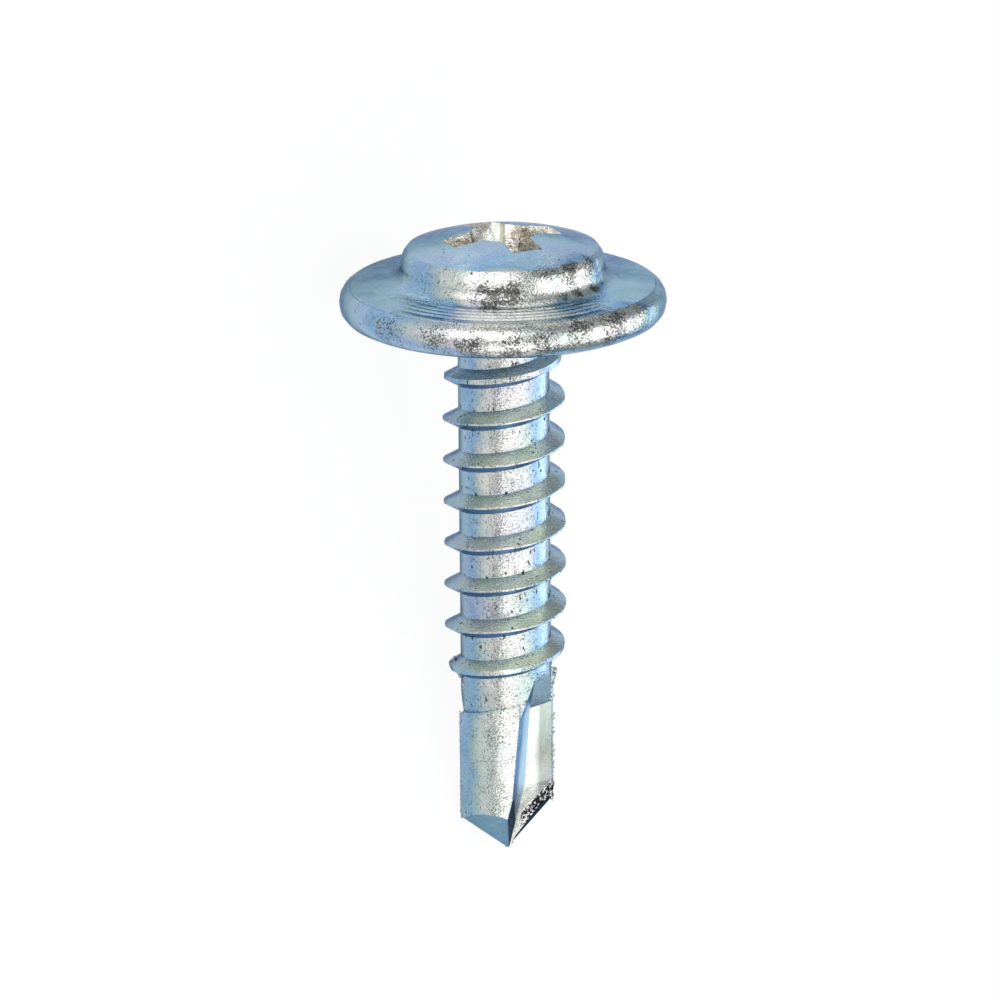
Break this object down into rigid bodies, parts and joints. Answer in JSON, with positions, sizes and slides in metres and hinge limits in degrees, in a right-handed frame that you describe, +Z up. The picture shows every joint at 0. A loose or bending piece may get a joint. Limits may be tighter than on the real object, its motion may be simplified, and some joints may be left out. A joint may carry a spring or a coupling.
{
  "type": "self drilling screw",
  "caption": "Short self-drilling screw with a wide wafer head, cross recess, coarse right-hand thread and a two-flute drill point, lying on its side.",
  "frame": {"origin": "centre of the bounding box, at the floor that the screw lies on", "axes": "+X runs from the head to the point along the floor, +Z is up; the screw's own axis lies in the XZ plane and falls 14.3 degrees towards the point"},
  "size_m": [0.025, 0.0128, 0.0124],
  "materials": {
    "zinc_steel": "blue-passivated zinc plating"
  },
  "bodies": {
    "root": {"screw": "zinc_steel"}
  },
  "joints": []
}
